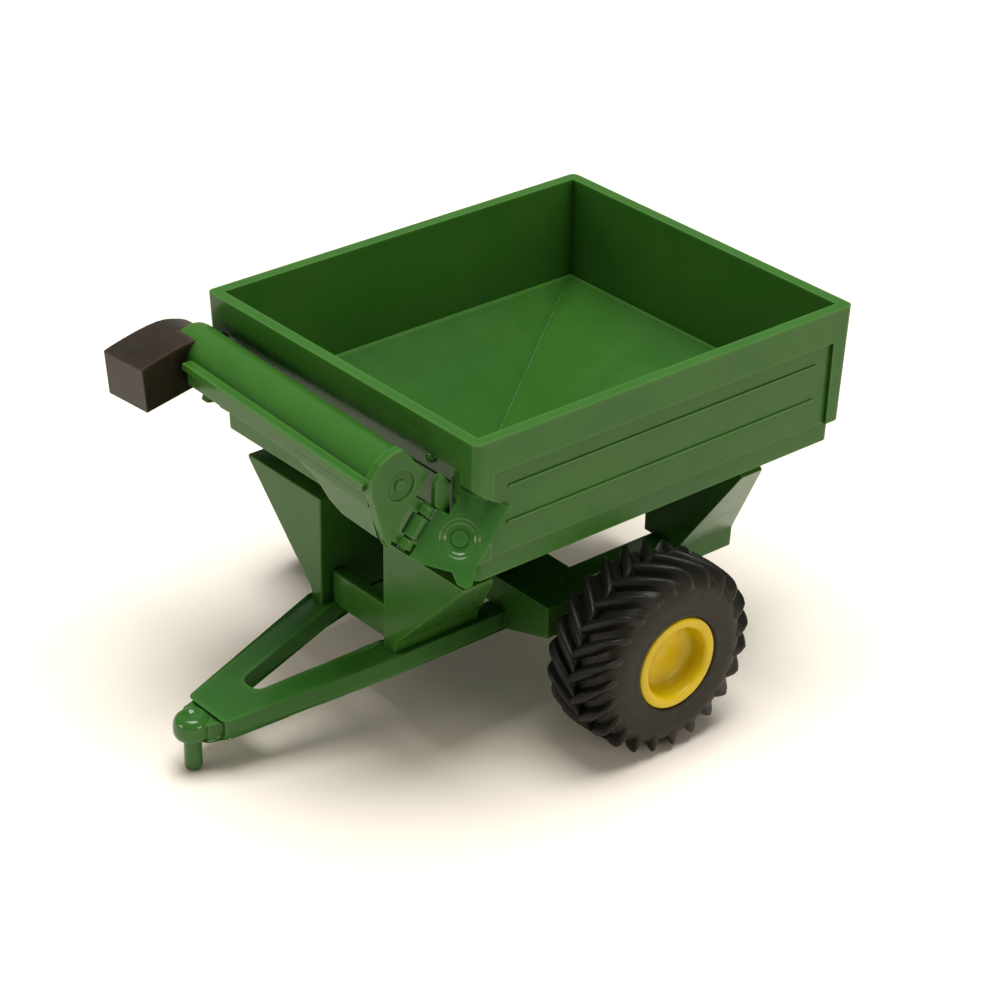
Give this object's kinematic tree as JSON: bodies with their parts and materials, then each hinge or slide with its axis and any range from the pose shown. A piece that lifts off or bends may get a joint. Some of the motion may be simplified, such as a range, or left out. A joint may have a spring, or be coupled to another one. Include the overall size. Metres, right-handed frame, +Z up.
{
  "type": "toy grain cart",
  "caption": "Moulded plastic toy grain cart: open hopper with a sloping floor on a wheeled chassis, a drawbar with a hitch pin, and an unloading auger that folds across the front.",
  "frame": {"origin": "on the ground, under the middle of the overall length and width", "axes": "+X is the cart's left side, +Y its rear, +Z up; the drawbar points along -Y"},
  "size_m": [0.0746, 0.0934, 0.0526],
  "materials": {
    "green_plastic": "glossy moulded",
    "yellow_plastic": "glossy moulded",
    "tyre": "soft matte",
    "dark_plastic": "satin",
    "axle_steel": "drawn wire"
  },
  "bodies": {
    "cart": {"hopper_tub": "green_plastic", "hopper_floor": "green_plastic", "sump_boot": "green_plastic", "lower_auger_tube": "green_plastic", "lower_flange": "green_plastic", "flange_gusset": "green_plastic", "auger_rest": "green_plastic", "left_rail": "green_plastic", "right_rail": "green_plastic", "left_tongue_beam": "green_plastic", "right_tongue_beam": "green_plastic", "hitch_head": "green_plastic", "hitch_pin": "green_plastic", "front_left_strut": "green_plastic", "front_right_strut": "green_plastic", "rear_left_strut": "green_plastic", "rear_right_strut": "green_plastic", "front_cross_member": "green_plastic", "rear_cross_member": "green_plastic", "axle_beam": "green_plastic", "axle_shaft": "axle_steel"},
    "left_wheel": {"left_rim": "yellow_plastic", "left_tyre": "tyre"},
    "right_wheel": {"right_rim": "yellow_plastic", "right_tyre": "tyre"},
    "auger": {"auger_tube": "green_plastic", "auger_flange": "green_plastic", "auger_web": "green_plastic", "spout": "dark_plastic", "hinge_pin": "green_plastic"}
  },
  "joints": [
    {"name": "left_wheel_spin", "type": "hinge", "parent": "cart", "child": "left_wheel", "pos_m": [0.0313, 0.0088, 0.014], "axis": [1, 0, 0], "continuous": true},
    {"name": "right_wheel_spin", "type": "hinge", "parent": "cart", "child": "right_wheel", "pos_m": [-0.0313, 0.0088, 0.014], "axis": [1, 0, 0], "continuous": true},
    {"name": "auger_fold", "type": "hinge", "parent": "cart", "child": "auger", "pos_m": [0.02217, -0.02298, 0.04118], "axis": [0, 0.6521, 0.7581], "range_deg": [0, 131]}
  ]
}
